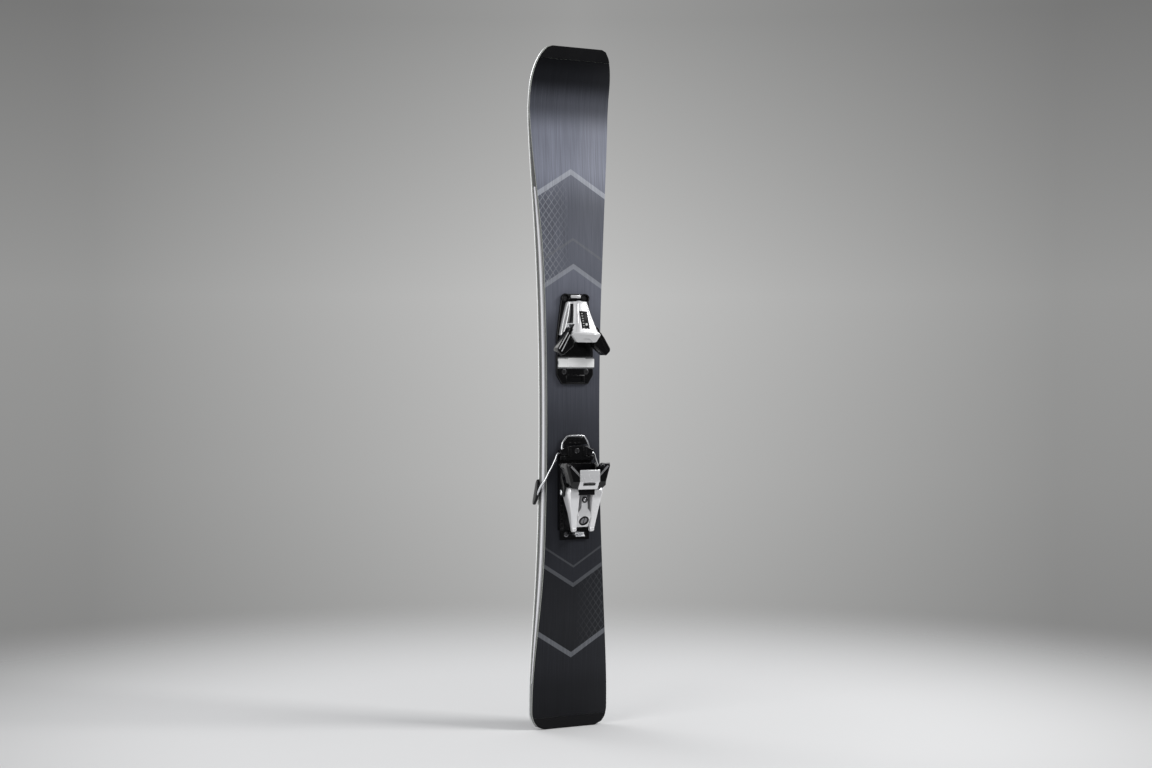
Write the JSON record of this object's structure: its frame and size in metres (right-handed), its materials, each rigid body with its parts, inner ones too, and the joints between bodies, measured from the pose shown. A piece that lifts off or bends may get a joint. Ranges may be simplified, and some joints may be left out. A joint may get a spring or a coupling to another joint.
{
  "type": "short alpine ski with release binding",
  "caption": "Short wide twin-corner ski with steel edges, a sliding-heel release binding, a sprung toe piece and a wire ski brake",
  "frame": {"origin": "Middle of the flat end face of the tail, on which the ski stands upright", "axes": "+Z runs along the ski from tail to tip, +Y out of the running base, -Y out of the top sheet with the binding, +X to the right as seen from the top sheet"},
  "size_m": [0.1448, 0.0903, 1.1],
  "materials": {
    "black_plastic": "moulded satin",
    "silver_metal": "satin silver lacquer on cast metal",
    "spring_steel": "bright plated",
    "edge_steel": "ground",
    "base_plastic": "waxed",
    "glass_cloth": "resin-filled glass cloth",
    "core_wood": "laminated strips",
    "spacer_plastic": "plain",
    "sidewall_plastic": "satin, layered",
    "topsheet_film": "satin film with fine lengthwise grain",
    "guard_plastic": "moulded",
    "white_plastic": "low-friction",
    "clear_plastic": "smoked window",
    "marker_plastic": "plain"
  },
  "bodies": {
    "ski": {"running_base": "base_plastic", "steel_edge_left": "edge_steel", "steel_edge_right": "edge_steel", "lower_laminate": "glass_cloth", "wood_core": "core_wood", "tail_spacer": "spacer_plastic", "tip_spacer": "spacer_plastic", "upper_laminate": "glass_cloth", "topsheet": "topsheet_film", "sidewall_left": "sidewall_plastic", "sidewall_right": "sidewall_plastic", "tip_guard": "guard_plastic", "tail_guard": "guard_plastic", "toe_base_plate": "black_plastic", "toe_screw_front_left": "spring_steel", "toe_screw_front_right": "spring_steel", "toe_screw_rear_left": "spring_steel", "toe_screw_rear_right": "spring_steel", "toe_housing": "silver_metal", "toe_window": "clear_plastic", "toe_piston": "spring_steel", "toe_spring": "spring_steel", "toe_wing_pin_left": "spring_steel", "toe_wing_pin_right": "spring_steel", "afd_rail": "spring_steel", "toe_front_clip": "silver_metal", "heel_track": "black_plastic", "heel_screw_front_left": "spring_steel", "heel_screw_front_right": "spring_steel", "heel_screw_rear_left": "spring_steel", "heel_screw_rear_right": "spring_steel"},
    "toe_wing_left_body": {"toe_wing_left": "black_plastic"},
    "toe_wing_right_body": {"toe_wing_right": "black_plastic"},
    "toe_slide_plate": {"afd_plate": "white_plastic"},
    "toe_adjuster": {"toe_din_screw": "spring_steel"},
    "toe_nut": {"toe_spring_nut": "marker_plastic"},
    "heel_unit": {"heel_carriage": "black_plastic", "heel_body": "silver_metal", "heel_pivot_pin": "spring_steel", "heel_rivet": "spring_steel", "heel_spring": "spring_steel", "heel_plunger": "spring_steel", "latch_pin": "spring_steel", "brake_base": "black_plastic", "brake_base_screw": "spring_steel"},
    "heel_cup_unit": {"heel_cup": "black_plastic", "heel_cup_cover": "silver_metal"},
    "heel_lever_unit": {"heel_lever": "silver_metal"},
    "heel_adjuster": {"heel_din_screw": "spring_steel"},
    "heel_nut": {"heel_spring_nut": "marker_plastic"},
    "latch": {"length_latch": "spring_steel"},
    "brake": {"brake_wire": "spring_steel", "brake_pedal": "black_plastic", "brake_foot_left": "black_plastic", "brake_foot_right": "black_plastic"}
  },
  "joints": [
    {"name": "toe_wing_left_swing", "type": "hinge", "parent": "ski", "child": "toe_wing_left_body", "pos_m": [-0.021, -0.04005, 0.643], "axis": [0, 1, 0], "range_deg": [0, 25], "stiffness_Nm_per_rad": 2},
    {"name": "toe_wing_right_swing", "type": "hinge", "parent": "ski", "child": "toe_wing_right_body", "pos_m": [0.021, -0.04005, 0.643], "axis": [0, -1, 0], "range_deg": [0, 25], "stiffness_Nm_per_rad": 2},
    {"name": "toe_din_turn", "type": "hinge", "parent": "ski", "child": "toe_adjuster", "pos_m": [0, -0.03655, 0.69], "axis": [0, 0, 1], "range_deg": [-1080, 1080]},
    {"name": "toe_nut_slide", "type": "slide", "parent": "ski", "child": "toe_nut", "axis": [0, 0, 1], "range_m": [-0.00376, 0.00376], "deforming": ["toe_spring"]},
    {"name": "afd_slide", "type": "slide", "parent": "ski", "child": "toe_slide_plate", "axis": [1, 0, 0], "range_m": [-0.006, 0.006], "stiffness_N_per_m": 400},
    {"name": "heel_length_slide", "type": "slide", "parent": "ski", "child": "heel_unit", "axis": [0, 0, 1], "range_m": [-0.01, 0.01]},
    {"name": "heel_lever_press", "type": "hinge", "parent": "heel_unit", "child": "heel_lever_unit", "pos_m": [0, -0.03975, 0.384], "axis": [1, 0, 0], "range_deg": [0, 15]},
    {"name": "heel_cup_open", "type": "hinge", "parent": "heel_unit", "child": "heel_cup_unit", "pos_m": [0, -0.03975, 0.384], "axis": [1, 0, 0], "range_deg": [0, 45.1]},
    {"name": "heel_din_turn", "type": "hinge", "parent": "heel_unit", "child": "heel_adjuster", "pos_m": [0, -0.05475, 0.3385], "axis": [0, 0.866, 0.5], "range_deg": [-1080, 1080]},
    {"name": "heel_nut_slide", "type": "slide", "parent": "heel_unit", "child": "heel_nut", "axis": [0, 0.866, 0.5], "range_m": [-0.00151, 0.00151], "deforming": ["heel_spring"]},
    {"name": "latch_lift", "type": "hinge", "parent": "heel_unit", "child": "latch", "pos_m": [0, -0.02555, 0.3178], "axis": [1, 0, 0], "range_deg": [0, 30], "stiffness_Nm_per_rad": 0.1},
    {"name": "brake_press", "type": "hinge", "parent": "heel_unit", "child": "brake", "pos_m": [0, -0.02575, 0.446], "axis": [-1, 0, 0], "range_deg": [0, 10], "stiffness_Nm_per_rad": 2}
  ],
  "couplings": [
    {"joint": "toe_nut_slide", "follows": "toe_din_turn", "m_per_rad": 0.00019894},
    {"joint": "heel_cup_open", "follows": "heel_lever_press", "ratio": 3},
    {"joint": "heel_nut_slide", "follows": "heel_din_turn", "m_per_rad": 0.000079577}
  ]
}
